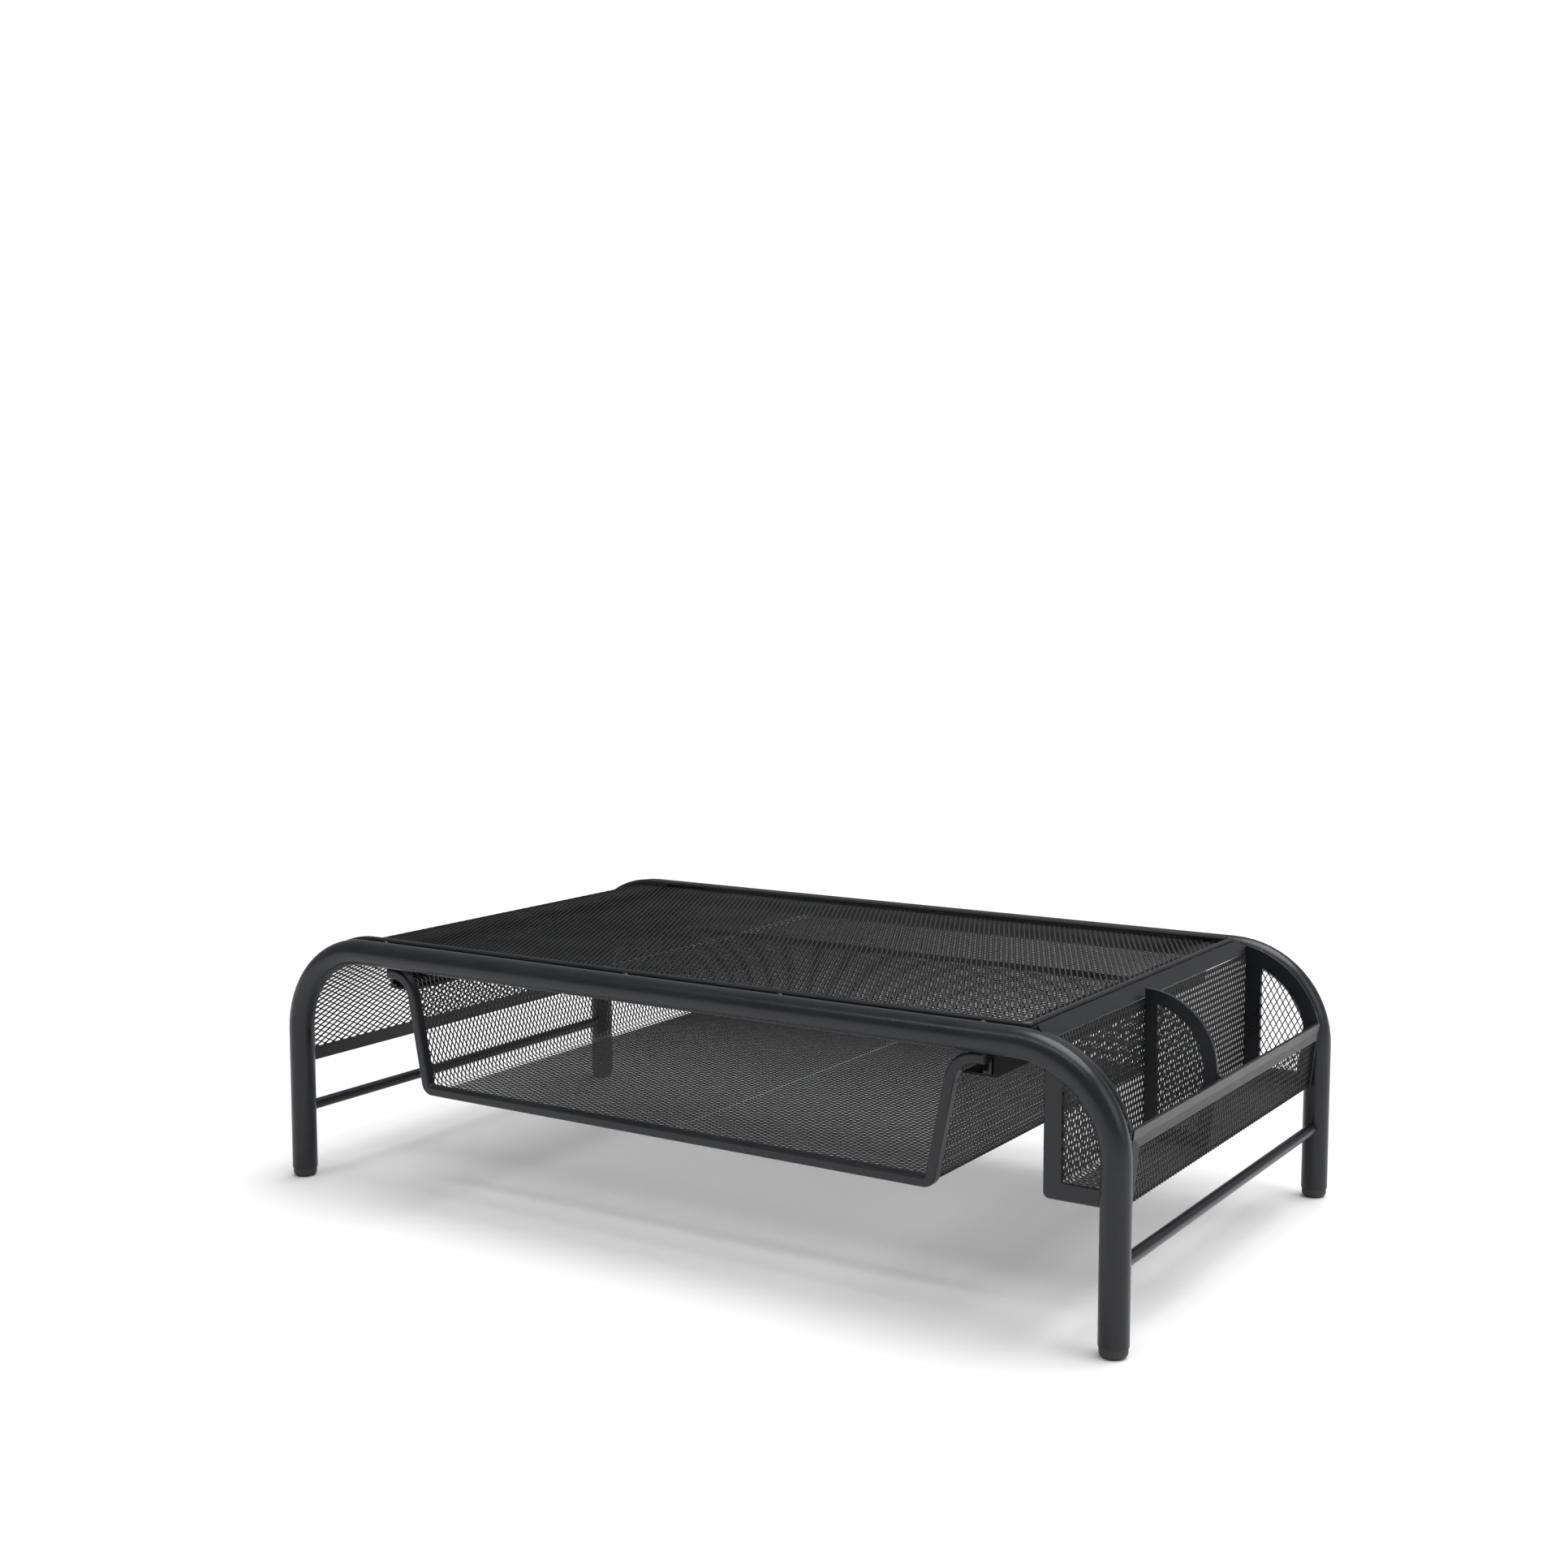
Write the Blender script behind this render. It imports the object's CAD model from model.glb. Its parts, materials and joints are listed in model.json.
import json
import math

import bmesh
import bpy
from mathutils import Matrix, Vector


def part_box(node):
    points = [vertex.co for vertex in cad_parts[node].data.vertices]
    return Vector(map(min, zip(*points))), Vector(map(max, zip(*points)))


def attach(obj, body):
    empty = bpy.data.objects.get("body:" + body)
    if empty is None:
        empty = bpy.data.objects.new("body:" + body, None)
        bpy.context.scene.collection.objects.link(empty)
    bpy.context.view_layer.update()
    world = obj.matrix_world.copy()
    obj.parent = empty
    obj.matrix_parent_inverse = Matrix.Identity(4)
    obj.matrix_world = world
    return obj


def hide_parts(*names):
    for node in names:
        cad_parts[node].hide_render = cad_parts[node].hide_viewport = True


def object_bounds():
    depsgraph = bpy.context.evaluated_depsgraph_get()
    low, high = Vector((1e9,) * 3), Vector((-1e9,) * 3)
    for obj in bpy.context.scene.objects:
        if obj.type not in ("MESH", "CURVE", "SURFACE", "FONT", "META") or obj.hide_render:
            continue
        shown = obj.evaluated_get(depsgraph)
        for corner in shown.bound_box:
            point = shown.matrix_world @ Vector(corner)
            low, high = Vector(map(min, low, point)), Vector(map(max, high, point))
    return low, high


# Looks of the monitor riser stand: expanded steel mesh, black powder coat, plastic feet.
# Lengths named *_mm are millimetres; meshes are shaped in millimetres and end in metres.

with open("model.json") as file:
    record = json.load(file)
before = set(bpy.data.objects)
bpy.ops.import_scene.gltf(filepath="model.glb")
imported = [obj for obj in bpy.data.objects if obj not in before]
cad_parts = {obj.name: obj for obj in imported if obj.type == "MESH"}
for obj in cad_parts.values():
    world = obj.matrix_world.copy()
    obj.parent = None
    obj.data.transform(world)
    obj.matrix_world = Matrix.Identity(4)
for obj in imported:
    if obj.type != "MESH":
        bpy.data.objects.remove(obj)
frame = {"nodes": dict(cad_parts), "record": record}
cad_low, cad_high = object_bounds()
MM = 0.001

# ---- expanded mesh ----
mesh_short_mm = 3.2
mesh_long_mm = 6.4
wall_strand = {"half_mm": 0.27, "gauge_mm": 0.36, "tilt": 0.08}
tray_strand = {"half_mm": 0.29, "gauge_mm": 0.4, "tilt": 0.12}
deck_strand = {"half_mm": 0.34, "gauge_mm": 0.46, "tilt": 0.26}
sheet_mm = 1.0
sliver_share = 1.25  # a cut diamond with less area than this many strands is left out

# ---- bends of the folded sheets ----
shoulder_radius_mm = 53.1
deck_sag_mm = 1.4
deck_sag_band_mm = 6.0  # how far below the top the hanging part reaches
drawer_bend_mm = 6.0
drawer_flange_bend_mm = 12.0
drawer_slope_deg = 11.0
drawer_floor_half_mm = 156.3
drawer_back_corner_shares = (0.25, 0.3)  # of drawer_bend_mm: in from the foot, up from the floor
pocket_bends_mm = (3.0, 1.6)
pocket_hem_mm = 0.6
pocket_lean_deg = 6.0
pocket_arc_mm = 53.5
pocket_strip_mm = 8.0
pocket_wall_gap_mm = 0.05
end_panel_margin_mm = 3.0  # mesh tucked under the frame all round
divider_margin_mm = 2.5
panel_arc_deg = (5.0, 90.0)
panel_arc_cuts = 10
bend_centre_mm = (199.0, 84.5)
divider_arc_mm = 37.5
divider_strip_mm = 6.6
divider_centre_mm = (210.1, 100.5)

# ---- camera ----
camera_place = Vector((0.57816, -0.91170, 0.33204))
camera_azimuth_deg = 32.877
camera_pitch_deg = 5.642
camera_lens_mm = 45.392

# ---- noise: scale, detail, roughness ----
blotch_noise = (38.0, 3.0, 0.55)
speck_noise = (900.0, 2.0, 0.6)
peel_noise = (1700.0, 2.0, 0.5)
rub_noise = (140.0, 4.0, 0.65)
dust_patch_noise = (22.0, 5.0, 0.6)
dust_grit_noise = (2600.0, 1.0, 0.5)
desk_noise = (3.0, 2.0, 0.5)

# ---- finish details ----
peel_depth_m = 0.00012
dust_tone = (0.16, 0.155, 0.15, 1)
rub_polish = 0.08
dust_matt = 0.3
desk_tones = ((0.86, 0.86, 0.865, 1), (0.9, 0.9, 0.9, 1))
desk_half_m = 40.0

# ---- lights ----
room_strength = 0.34
backdrop_strength = 1.2
daylight_strength = 3.1
daylight_spread_deg = 50.0
daylight_tilt_deg = (-14.0, 10.0)
softboxes = (  # name, place, width, height, power
    ("front_strip", (0.1, -0.92, 1.4), 1.8, 0.22, 6.0),
    ("right_softbox", (1.9, 0.1, 1.0), 1.2, 1.2, 8.0),
)


def add_camera():
    """Camera in front of the stand and to its right, looking slightly down."""
    data = bpy.data.cameras.new("desk_camera")
    data.lens = camera_lens_mm
    data.sensor_width = 36.0
    data.clip_start = 0.01
    data.clip_end = 60.0
    camera = bpy.data.objects.new("desk_camera", data)
    bpy.context.scene.collection.objects.link(camera)
    turn = math.radians(camera_azimuth_deg)
    dip = math.radians(camera_pitch_deg)
    forward = Vector((
        -math.sin(turn) * math.cos(dip),
        math.cos(turn) * math.cos(dip),
        -math.sin(dip),
    ))
    camera.location = camera_place
    camera.rotation_mode = "QUATERNION"
    camera.rotation_quaternion = forward.to_track_quat("-Z", "Y")
    bpy.context.scene.camera = camera


# ---------------------------------------------------------------- sheet shapes

def diamond_lattice(run, depth, run_pitch, depth_pitch):
    """Flat lattice of diamonds from 0 to run along X and from 0 to depth along Y."""
    columns = max(2, round(run / run_pitch))
    rows = max(2, round(depth / depth_pitch))
    bm = bmesh.new()
    bmesh.ops.create_grid(bm, x_segments=columns, y_segments=rows, size=0.5)
    cell_edges = list(bm.edges)
    bmesh.ops.poke(bm, faces=bm.faces[:])
    inner = [e for e in cell_edges if len(e.link_faces) == 2]
    bmesh.ops.dissolve_edges(bm, edges=inner, use_verts=False)
    bmesh.ops.translate(bm, verts=bm.verts[:], vec=(0.5, 0.5, 0))
    bmesh.ops.scale(bm, verts=bm.verts[:], vec=(run, depth, 1))
    return bm


def trim(bm, point, outward):
    """Cut the lattice along a line and drop the part on the outward side."""
    geometry = bm.verts[:] + bm.edges[:] + bm.faces[:]
    bmesh.ops.bisect_plane(
        bm, geom=geometry, dist=1e-4, plane_co=point, plane_no=outward, clear_outer=True
    )


def trim_arc(bm, centre, radius, start_deg, end_deg, cuts):
    """Trim the lattice to the inside of an arc with a fan of straight cuts."""
    for i in range(cuts):
        angle = math.radians(start_deg + (end_deg - start_deg) * i / (cuts - 1))
        outward = Vector((math.cos(angle), math.sin(angle), 0))
        trim(bm, Vector((centre[0], centre[1], 0)) + outward * radius, outward)


def on_seam(edge, seams):
    """Whether the edge lies on a line X = seam."""
    return any(all(abs(v.co.x - x) < 1e-3 for v in edge.verts) for x in seams)


def face_limits(face):
    """Lowest and highest X and Y of a flat face."""
    places = [v.co for v in face.verts]
    low = Vector((min(p.x for p in places), min(p.y for p in places)))
    high = Vector((max(p.x for p in places), max(p.y for p in places)))
    return low, high


def open_diamonds(bm, tilt_along, strand, seams=()):
    """Turn the lattice into strands: open each diamond, tilt the strands, give them thickness.

    Slivers along a cut are left out, and each opening stays inside its own diamond. No
    strand runs along a seam, so that two sheets can meet there without a line. The sheet
    is still flat here, so its thickness is a plain lift that no corner can exaggerate.
    """
    half = strand["half_mm"]
    slivers = [
        f for f in bm.faces
        if 2 * f.calc_area() < sliver_share * half * f.calc_perimeter()
    ]
    bmesh.ops.delete(bm, geom=slivers, context="FACES")
    holes = bm.faces[:]
    cells = [face_limits(f) for f in holes]
    bmesh.ops.inset_individual(
        bm, faces=holes, thickness=half, depth=0.0, use_even_offset=True
    )
    for hole, (low, high) in zip(holes, cells):
        for corner in hole.verts:
            corner.co.x = min(max(corner.co.x, low.x), high.x)
            corner.co.y = min(max(corner.co.y, low.y), high.y)
        middle = hole.calc_center_median()
        for corner in hole.verts:
            corner.co.z -= (corner.co - middle).dot(tilt_along) * strand["tilt"]
    border = [f for f in bm.faces if any(on_seam(e, seams) for e in f.edges)]
    bmesh.ops.delete(bm, geom=holes + border, context="FACES_ONLY")
    loose = [v for v in bm.verts if not v.link_faces]
    bmesh.ops.delete(bm, geom=loose, context="VERTS")
    bmesh.ops.remove_doubles(bm, verts=bm.verts[:], dist=1e-4)
    gauge = strand["gauge_mm"]
    bmesh.ops.translate(bm, verts=bm.verts[:], vec=(0, 0, -gauge / 2))
    made = bmesh.ops.extrude_face_region(bm, geom=bm.faces[:], use_keep_orig=True)["geom"]
    raised = [part for part in made if isinstance(part, bmesh.types.BMVert)]
    bmesh.ops.translate(bm, verts=raised, vec=(0, 0, gauge))
    bmesh.ops.recalc_face_normals(bm, faces=bm.faces[:])


def profile_steps(corners, radii):
    """Runs and bends of a folded line as (length, turn radius) pairs, with 0 for a run."""
    steps = []
    spent = 0.0
    for i in range(1, len(corners)):
        before = corners[i] - corners[i - 1]
        if i == len(corners) - 1:
            steps.append((before.length - spent, 0.0))
            break
        after = corners[i + 1] - corners[i]
        turn = before.angle_signed(after) * -1.0
        radius = radii[i - 1]
        cut = radius * math.tan(abs(turn) / 2)
        steps.append((before.length - spent - cut, 0.0))
        steps.append((radius * abs(turn), math.copysign(radius, turn)))
        spent = cut
    return steps


def steps_length(steps):
    return sum(length for length, _ in steps)


def place_on_steps(steps, start, heading, along, lift):
    """Point of a folded line at a distance along it, lifted to its left by lift."""
    x, z = start
    last = len(steps) - 1
    for i, (length, radius) in enumerate(steps):
        part = along if i == last else min(along, length)
        if radius == 0.0:
            x += math.cos(heading) * part
            z += math.sin(heading) * part
        else:
            turn = part / radius
            x += radius * (math.sin(heading + turn) - math.sin(heading))
            z += radius * (math.cos(heading) - math.cos(heading + turn))
            heading += turn
        along -= part
        if along <= 0.0:
            break
    return x - math.sin(heading) * lift, z + math.cos(heading) * lift


def fold(bm, steps, start, heading, from_run, front):
    """Lay a flat sheet on a folded line; its X becomes distance along the line."""
    for v in bm.verts:
        lift = sheet_mm / 2 + v.co.z
        x, z = place_on_steps(steps, start, heading, from_run + v.co.x, lift)
        v.co = Vector((x, front + v.co.y, z))


def sag_deck(bm, top_mm, low_x, high_x, half_depth):
    """Let the flat deck hang a little between its edges."""
    for v in bm.verts:
        if v.co.z > top_mm - deck_sag_band_mm and low_x < v.co.x < high_x:
            across = 1.0 - (v.co.y / half_depth) ** 2
            along = math.sin(math.pi * (v.co.x - low_x) / (high_x - low_x))
            v.co.z -= deck_sag_mm * max(0.0, across) * along ** 0.5


def finish_piece(bm, name, body, node, material):
    """Make the shaped mesh a piece in metres that rides on its body and stands for its node."""
    bmesh.ops.scale(bm, verts=bm.verts[:], vec=(MM, MM, MM))
    data = bpy.data.meshes.new(name)
    bm.to_mesh(data)
    bm.free()
    piece = bpy.data.objects.new(name, data)
    bpy.context.scene.collection.objects.link(piece)
    data.materials.append(material)
    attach(piece, body)
    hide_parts(node)


def box_mm(node):
    low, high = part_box(node)
    return low / MM, high / MM


# ---------------------------------------------------------------- mesh pieces

def build_deck(material):
    """Deck mesh in two halves; the left one goes over the shoulder and down the side."""
    low, high = box_mm("deck_mesh")
    flat = high.x - (low.x + shoulder_radius_mm)
    drop = high.z - shoulder_radius_mm - low.z
    steps = [
        (flat, 0.0),
        (shoulder_radius_mm * math.pi / 2, shoulder_radius_mm),
        (drop, 0.0),
    ]
    depth = high.y - low.y
    whole = steps_length(steps)
    columns = round(whole / mesh_short_mm)
    pitch = whole / columns
    split = round(columns / 2) * pitch
    for name, start, end in (("deck_mesh_right", 0.0, split), ("deck_mesh_left", split, whole)):
        bm = diamond_lattice(end - start, depth, pitch, mesh_long_mm)
        seam = end - start if start == 0.0 else 0.0
        open_diamonds(bm, Vector((1, 0, 0)), deck_strand, [seam])
        fold(bm, steps, (high.x, high.z), math.pi, start, low.y)
        sag_deck(bm, high.z, low.x + shoulder_radius_mm, high.x, high.y)
        finish_piece(bm, name, "stand", "deck_mesh", material)


def build_drawer_tray(material):
    """Drawer floor, sloping sides and flanges in two halves that meet in mid floor."""
    low, high = box_mm("drawer_tray_mesh")
    slope = math.tan(math.radians(drawer_slope_deg))
    flange = high.z - sheet_mm
    reach = drawer_floor_half_mm + (flange - low.z) * slope
    corners = [
        Vector((low.x, flange)),
        Vector((-reach, flange)),
        Vector((-drawer_floor_half_mm, low.z)),
        Vector((drawer_floor_half_mm, low.z)),
        Vector((reach, flange)),
        Vector((high.x, flange)),
    ]
    low_bend, high_bend = drawer_bend_mm, drawer_flange_bend_mm
    steps = profile_steps(corners, (high_bend, low_bend, low_bend, high_bend))
    whole = steps_length(steps)
    columns = 2 * round(whole / mesh_long_mm / 2)
    pitch = whole / columns
    depth = high.y - low.y
    for name, start in (("drawer_mesh_left", 0.0), ("drawer_mesh_right", whole / 2)):
        bm = diamond_lattice(whole / 2, depth, pitch, mesh_short_mm)
        seam = whole / 2 if start == 0.0 else 0.0
        open_diamonds(bm, Vector((0, 1, 0)), wall_strand, [seam])
        fold(bm, steps, (low.x, flange), 0.0, start, low.y)
        finish_piece(bm, name, "drawer", "drawer_tray_mesh", material)


def build_pocket_tray(material):
    """Inner wall, floor and leaning outer wall of the pocket."""
    low, high = box_mm("pocket_tray_mesh")
    lean = math.tan(math.radians(pocket_lean_deg))
    outer_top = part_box("pocket_outer_frame")[1].z / MM - pocket_hem_mm
    wall_x = high.x - pocket_wall_gap_mm
    corners = [
        Vector((low.x, high.z)),
        Vector((low.x, low.z)),
        Vector((wall_x - (outer_top - low.z) * lean, low.z)),
        Vector((wall_x, outer_top)),
    ]
    steps = profile_steps(corners, pocket_bends_mm)
    whole = steps_length(steps)
    bm = diamond_lattice(whole, high.y - low.y, mesh_long_mm, mesh_short_mm)
    open_diamonds(bm, Vector((0, 1, 0)), tray_strand)
    fold(bm, steps, (low.x, high.z), -math.pi / 2, 0.0, low.y)
    finish_piece(bm, "pocket_mesh", "stand", "pocket_tray_mesh", material)


def stand_upright(bm, corner, middle_y):
    """Stand a flat panel up: its Y becomes height, at this corner and depth."""
    upright = Matrix.Rotation(math.pi / 2, 3, "X")
    bmesh.ops.rotate(bm, verts=bm.verts[:], cent=(0, 0, 0), matrix=upright)
    bmesh.ops.translate(bm, verts=bm.verts[:], vec=(corner.x, middle_y, corner.z))


def build_end_panel(node, name, margin, centre, radius, material):
    """Upright mesh of a pocket end panel or of the divider, tucked into its frame."""
    low, high = box_mm(node)
    low -= Vector((margin, 0, margin))
    high += Vector((margin, 0, margin))
    bm = diamond_lattice(high.x - low.x, high.z - low.z, mesh_short_mm, mesh_long_mm)
    local = (centre[0] - low.x, centre[1] - low.z)
    trim_arc(bm, local, radius + margin, *panel_arc_deg, panel_arc_cuts)
    lean = math.radians(pocket_lean_deg)
    outward = Vector((math.cos(lean), -math.sin(lean), 0))
    trim(bm, Vector((high.x - low.x, local[1], 0)), outward)
    open_diamonds(bm, Vector((1, 0, 0)), wall_strand)
    stand_upright(bm, low, (low.y + high.y) / 2)
    finish_piece(bm, name, "stand", node, material)


def build_drawer_back(material):
    """Back wall of the drawer, cut to the slope of its sides."""
    low, high = box_mm("drawer_back_mesh")
    width = high.x - low.x
    height = high.z - low.z
    bm = diamond_lattice(width, height, mesh_short_mm, mesh_long_mm)
    slope = math.radians(drawer_slope_deg)
    share_in, share_up = drawer_back_corner_shares
    for side in (-1, 1):
        edge = width / 2 + side * width / 2
        outward = Vector((side * math.cos(slope), -math.sin(slope), 0))
        trim(bm, Vector((edge, height, 0)), outward)
        foot_x = edge - side * height * math.tan(slope)
        corner = Vector((foot_x - side * drawer_bend_mm * share_in, drawer_bend_mm * share_up, 0))
        trim(bm, corner, Vector((side, -1, 0)).normalized())
    open_diamonds(bm, Vector((1, 0, 0)), wall_strand)
    stand_upright(bm, low, (low.y + high.y) / 2)
    finish_piece(
        bm, "drawer_back_wall", "drawer", "drawer_back_mesh", material
    )


# ---------------------------------------------------------------- finishes

def new_group(name, inputs, outputs):
    """Empty node group with named inputs and outputs; returns it with its two end nodes."""
    group = bpy.data.node_groups.new(name, "ShaderNodeTree")
    for label, kind, value in inputs:
        socket = group.interface.new_socket(label, in_out="INPUT", socket_type=kind)
        if value is not None:
            socket.default_value = value
    for label, kind in outputs:
        group.interface.new_socket(label, in_out="OUTPUT", socket_type=kind)
    start = group.nodes.new("NodeGroupInput")
    end = group.nodes.new("NodeGroupOutput")
    return group, start, end


def add_noise(tree, place, noise):
    """Noise texture from a scale, a detail and a roughness."""
    scale, detail, roughness = noise
    node = tree.nodes.new("ShaderNodeTexNoise")
    node.inputs["Scale"].default_value = scale
    node.inputs["Detail"].default_value = detail
    node.inputs["Roughness"].default_value = roughness
    tree.links.new(place, node.inputs["Vector"])
    return node.outputs["Fac"]


def add_range(tree, value, low, high, to_low, to_high):
    """Map Range node; to_low and to_high may be numbers or sockets."""
    node = tree.nodes.new("ShaderNodeMapRange")
    tree.links.new(value, node.inputs["Value"])
    labels = ("From Min", "From Max", "To Min", "To Max")
    for label, given in zip(labels, (low, high, to_low, to_high)):
        if isinstance(given, (int, float)):
            node.inputs[label].default_value = given
        else:
            tree.links.new(given, node.inputs[label])
    return node.outputs["Result"]


def add_math(tree, operation, first, second):
    node = tree.nodes.new("ShaderNodeMath")
    node.operation = operation
    for i, given in enumerate((first, second)):
        if isinstance(given, (int, float)):
            node.inputs[i].default_value = given
        else:
            tree.links.new(given, node.inputs[i])
    return node.outputs["Value"]


def add_colour_mix(tree, share, first, second):
    node = tree.nodes.new("ShaderNodeMix")
    node.data_type = "RGBA"
    tree.links.new(share, node.inputs["Factor"])
    for label, given in (("A", first), ("B", second)):
        socket = [s for s in node.inputs if s.name == label and s.type == "RGBA"][0]
        if isinstance(given, tuple):
            socket.default_value = given
        else:
            tree.links.new(given, socket)
    return [s for s in node.outputs if s.type == "RGBA"][0]


def make_coat_grain():
    """Powder coat: blotches of tone, fine orange peel and an uneven sheen."""
    group, start, end = new_group(
        "coat_grain",
        [
            ("Place", "NodeSocketVector", None),
            ("Coat", "NodeSocketColor", (0.02, 0.021, 0.023, 1)),
            ("Bloom", "NodeSocketColor", (0.03, 0.031, 0.033, 1)),
            ("Sheen Low", "NodeSocketFloat", 0.35),
            ("Sheen High", "NodeSocketFloat", 0.5),
        ],
        [
            ("Color", "NodeSocketColor"),
            ("Roughness", "NodeSocketFloat"),
            ("Height", "NodeSocketFloat"),
        ],
    )
    place = start.outputs["Place"]
    blotch = add_noise(group, place, blotch_noise)
    speck = add_noise(group, place, speck_noise)
    peel = add_noise(group, place, peel_noise)
    tone = add_range(group, blotch, 0.35, 0.68, 0.0, 1.0)
    fleck = add_range(group, speck, 0.55, 0.75, 0.0, 0.5)
    share = add_math(group, "ADD", tone, fleck)
    colour = add_colour_mix(group, share, start.outputs["Coat"], start.outputs["Bloom"])
    rough = add_range(
        group, blotch, 0.3, 0.7, start.outputs["Sheen Low"], start.outputs["Sheen High"]
    )
    rough = add_math(group, "ADD", rough, add_range(group, peel, 0.3, 0.7, -0.04, 0.04))
    height = add_math(group, "ADD", add_math(group, "MULTIPLY", peel, 0.7), speck)
    group.links.new(colour, end.inputs["Color"])
    group.links.new(rough, end.inputs["Roughness"])
    group.links.new(height, end.inputs["Height"])
    return group


def make_edge_rub():
    """Rounded-edge normal and a broken-up mask of where hands and paper rub an edge."""
    group, start, end = new_group(
        "edge_rub",
        [("Place", "NodeSocketVector", None), ("Radius", "NodeSocketFloat", 0.0004)],
        [("Mask", "NodeSocketFloat"), ("Normal", "NodeSocketVector")],
    )
    bevel = group.nodes.new("ShaderNodeBevel")
    bevel.samples = 4
    group.links.new(start.outputs["Radius"], bevel.inputs["Radius"])
    surface = group.nodes.new("ShaderNodeNewGeometry")
    dot = group.nodes.new("ShaderNodeVectorMath")
    dot.operation = "DOT_PRODUCT"
    group.links.new(bevel.outputs["Normal"], dot.inputs[0])
    group.links.new(surface.outputs["Normal"], dot.inputs[1])
    edge = add_range(group, dot.outputs["Value"], 0.98, 0.80, 0.0, 1.0)
    wear = add_noise(group, start.outputs["Place"], rub_noise)
    patchy = add_range(group, wear, 0.42, 0.7, 0.15, 1.0)
    group.links.new(add_math(group, "MULTIPLY", edge, patchy), end.inputs["Mask"])
    group.links.new(bevel.outputs["Normal"], end.inputs["Normal"])
    return group


def make_settled_dust():
    """Thin uneven dust on the faces that look up."""
    group, start, end = new_group(
        "settled_dust",
        [("Place", "NodeSocketVector", None), ("Amount", "NodeSocketFloat", 0.3)],
        [("Mask", "NodeSocketFloat")],
    )
    surface = group.nodes.new("ShaderNodeNewGeometry")
    split = group.nodes.new("ShaderNodeSeparateXYZ")
    group.links.new(surface.outputs["Normal"], split.inputs["Vector"])
    upward = add_range(group, split.outputs["Z"], 0.25, 1.0, 0.0, 1.0)
    wide = add_noise(group, start.outputs["Place"], dust_patch_noise)
    patch = add_range(group, wide, 0.35, 0.72, 0.25, 1.0)
    fine = add_noise(group, start.outputs["Place"], dust_grit_noise)
    grit = add_range(group, fine, 0.4, 0.7, 0.4, 1.0)
    mask = add_math(group, "MULTIPLY", upward, add_math(group, "MULTIPLY", patch, grit))
    amount = add_math(group, "MULTIPLY", mask, start.outputs["Amount"])
    group.links.new(amount, end.inputs["Mask"])
    return group


def make_finish(name, coat, bloom, rub, sheen, peel, edge_radius, dust, specular):
    """Coated or moulded surface with grain, rubbed edges and dust."""
    material = bpy.data.materials.new(name)
    material.use_nodes = True
    tree = material.node_tree
    shader = tree.nodes["Principled BSDF"]
    place = tree.nodes.new("ShaderNodeTexCoord").outputs["Object"]
    grain = tree.nodes.new("ShaderNodeGroup")
    grain.node_tree = groups["grain"]
    tree.links.new(place, grain.inputs["Place"])
    grain.inputs["Coat"].default_value = (*coat, 1)
    grain.inputs["Bloom"].default_value = (*bloom, 1)
    grain.inputs["Sheen Low"].default_value = sheen[0]
    grain.inputs["Sheen High"].default_value = sheen[1]
    colour = grain.outputs["Color"]
    rough = grain.outputs["Roughness"]
    bump = tree.nodes.new("ShaderNodeBump")
    bump.inputs["Strength"].default_value = peel
    bump.inputs["Distance"].default_value = peel_depth_m
    tree.links.new(grain.outputs["Height"], bump.inputs["Height"])
    if edge_radius:
        edge = tree.nodes.new("ShaderNodeGroup")
        edge.node_tree = groups["edge"]
        edge.inputs["Radius"].default_value = edge_radius
        tree.links.new(place, edge.inputs["Place"])
        tree.links.new(edge.outputs["Normal"], bump.inputs["Normal"])
        colour = add_colour_mix(tree, edge.outputs["Mask"], colour, (*rub, 1))
        polish = add_math(tree, "MULTIPLY", edge.outputs["Mask"], rub_polish)
        rough = add_math(tree, "SUBTRACT", rough, polish)
    if dust:
        settled = tree.nodes.new("ShaderNodeGroup")
        settled.node_tree = groups["dust"]
        settled.inputs["Amount"].default_value = dust
        tree.links.new(place, settled.inputs["Place"])
        colour = add_colour_mix(tree, settled.outputs["Mask"], colour, dust_tone)
        matt = add_math(tree, "MULTIPLY", settled.outputs["Mask"], dust_matt)
        rough = add_math(tree, "ADD", rough, matt)
    tree.links.new(colour, shader.inputs["Base Color"])
    tree.links.new(rough, shader.inputs["Roughness"])
    tree.links.new(bump.outputs["Normal"], shader.inputs["Normal"])
    shader.inputs["Specular IOR Level"].default_value = specular
    return material


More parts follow.
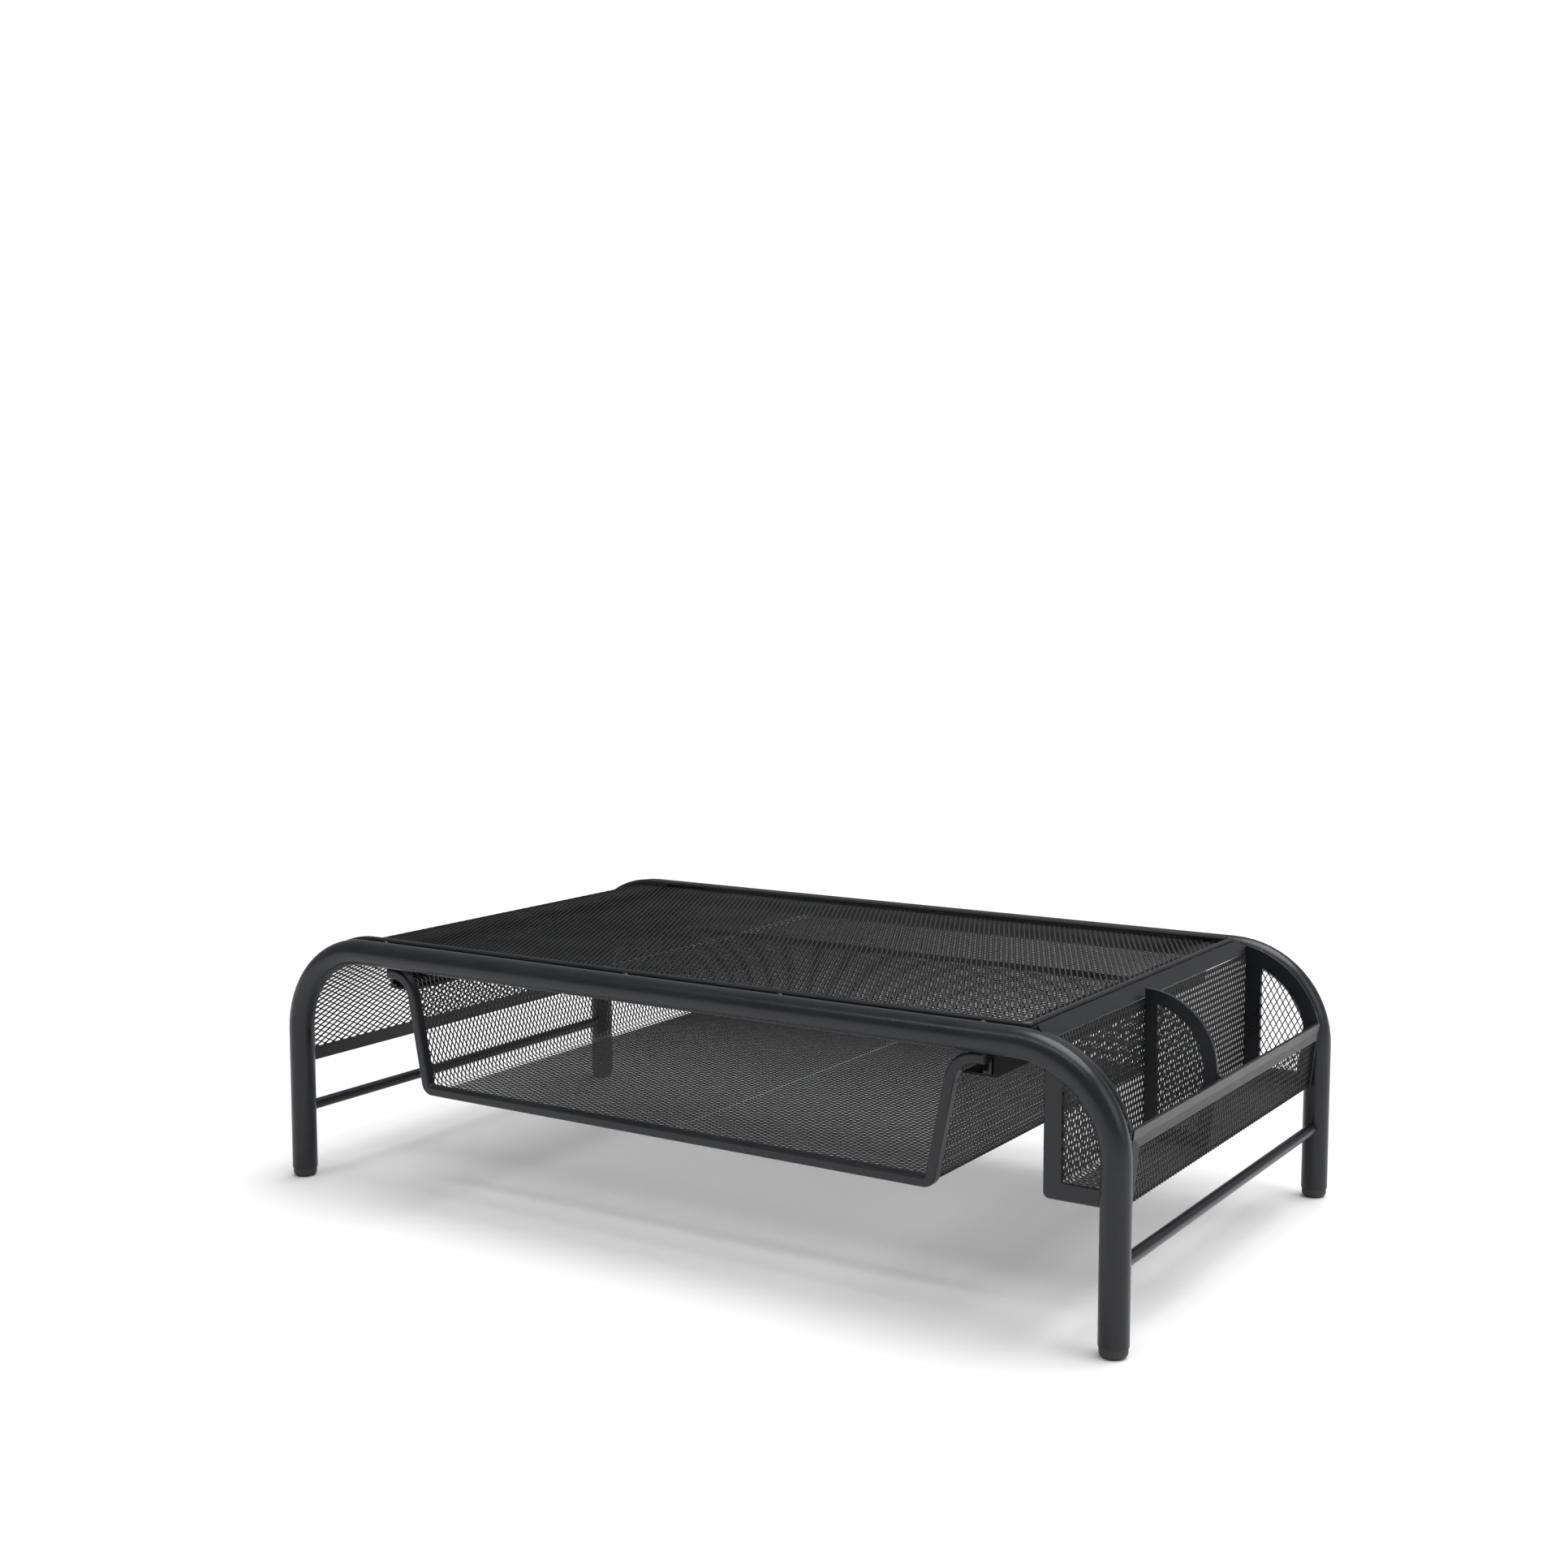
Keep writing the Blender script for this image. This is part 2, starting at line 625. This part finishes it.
def make_finishes():
    """One finish for each material slot of the record."""
    return {
        "tube_coat": make_finish(
            "tube_coat_finish", (0.0068, 0.0076, 0.0100), (0.0102, 0.0112, 0.0142),
            (0.04, 0.04, 0.042), (0.26, 0.34), 0.16, 0.0, 0.03, 0.36),
        "strip_coat": make_finish(
            "strip_coat_finish", (0.0073, 0.0081, 0.0102), (0.0117, 0.0127, 0.0156),
            (0.05, 0.05, 0.053), (0.28, 0.38), 0.2, 0.0004, 0.05, 0.38),
        "mesh_coat": make_finish(
            "mesh_coat_finish", (0.010, 0.0106, 0.0118), (0.017, 0.0177, 0.019),
            (0.05, 0.05, 0.05), (0.32, 0.44), 0.15, 0.0, 0.06, 0.42),
        "rail_coat": make_finish(
            "rail_coat_finish", (0.004, 0.0043, 0.005), (0.007, 0.0074, 0.0082),
            (0.03, 0.03, 0.032), (0.44, 0.56), 0.2, 0.0003, 0.03, 0.2),
        "weld_coat": make_finish(
            "weld_coat_finish", (0.010, 0.0105, 0.0115), (0.018, 0.0185, 0.02),
            (0.05, 0.05, 0.05), (0.34, 0.48), 0.6, 0.0, 0.05, 0.4),
        "foot_plastic": make_finish(
            "foot_plastic_finish", (0.024, 0.0245, 0.026), (0.036, 0.0365, 0.038),
            (0.06, 0.06, 0.06), (0.5, 0.62), 0.5, 0.0005, 0.03, 0.4),
    }


def dress_nodes(finishes):
    """Give every carried-over node the finish of its material slot."""
    slots = {part["node"]: part["material_slot"] for part in frame["record"]["subparts"]}
    for node, piece in frame["nodes"].items():
        piece.data.materials.clear()
        piece.data.materials.append(finishes[slots[node]])


# ---------------------------------------------------------------- studio

def add_floor():
    """Plain pale desk top under the stand."""
    bm = bmesh.new()
    bmesh.ops.create_grid(bm, x_segments=1, y_segments=1, size=desk_half_m)
    data = bpy.data.meshes.new("desk_top")
    bm.to_mesh(data)
    bm.free()
    floor = bpy.data.objects.new("desk_top", data)
    bpy.context.scene.collection.objects.link(floor)
    material = bpy.data.materials.new("desk_top_finish")
    material.use_nodes = True
    tree = material.node_tree
    shader = tree.nodes["Principled BSDF"]
    place = tree.nodes.new("ShaderNodeTexCoord").outputs["Object"]
    cloud = add_noise(tree, place, desk_noise)
    colour = add_colour_mix(tree, cloud, *desk_tones)
    tree.links.new(colour, shader.inputs["Base Color"])
    shader.inputs["Roughness"].default_value = 0.55
    shader.inputs["Specular IOR Level"].default_value = 0.25
    data.materials.append(material)


def add_softbox(name, place, aim, width, height, power):
    """Rectangular area light turned to face a point."""
    data = bpy.data.lights.new(name, "AREA")
    data.shape = "RECTANGLE"
    data.size = width
    data.size_y = height
    data.energy = power
    lamp = bpy.data.objects.new(name, data)
    bpy.context.scene.collection.objects.link(lamp)
    lamp.location = place
    lamp.rotation_mode = "QUATERNION"
    lamp.rotation_quaternion = (Vector(aim) - Vector(place)).to_track_quat("-Z", "Y")


def add_lights():
    """White room with soft daylight from above, a strip in front and a softbox at the right."""
    world = bpy.data.worlds.new("white_room")
    bpy.context.scene.world = world
    world.use_nodes = True
    tree = world.node_tree
    sky = tree.nodes["Background"]
    sky.inputs["Color"].default_value = (1, 1, 1, 1)
    path = tree.nodes.new("ShaderNodeLightPath")
    seen = path.outputs["Is Camera Ray"]
    strength = add_range(tree, seen, 0.0, 1.0, room_strength, backdrop_strength)
    tree.links.new(strength, sky.inputs["Strength"])
    centre = (cad_low + cad_high) / 2
    daylight = bpy.data.lights.new("ceiling_daylight", "SUN")
    daylight.energy = daylight_strength
    daylight.angle = math.radians(daylight_spread_deg)
    lamp = bpy.data.objects.new("ceiling_daylight", daylight)
    bpy.context.scene.collection.objects.link(lamp)
    lamp.rotation_euler = (*(math.radians(tilt) for tilt in daylight_tilt_deg), 0.0)
    for name, place, width, height, power in softboxes:
        add_softbox(name, place, centre, width, height, power)
    bpy.context.scene.view_settings.view_transform = "Standard"


add_camera()
groups = {"grain": make_coat_grain(), "edge": make_edge_rub(), "dust": make_settled_dust()}
finishes = make_finishes()
dress_nodes(finishes)
mesh_finish = finishes["mesh_coat"]
build_deck(mesh_finish)
build_drawer_tray(mesh_finish)
build_pocket_tray(mesh_finish)
build_drawer_back(mesh_finish)
for end in ("front", "rear"):
    build_end_panel(
        "pocket_" + end + "_mesh", "pocket_" + end + "_panel", end_panel_margin_mm,
        bend_centre_mm, pocket_arc_mm - pocket_strip_mm, mesh_finish,
    )
build_end_panel(
    "pocket_divider_mesh", "divider_panel", divider_margin_mm,
    divider_centre_mm, divider_arc_mm - divider_strip_mm, mesh_finish,
)
add_floor()
add_lights()
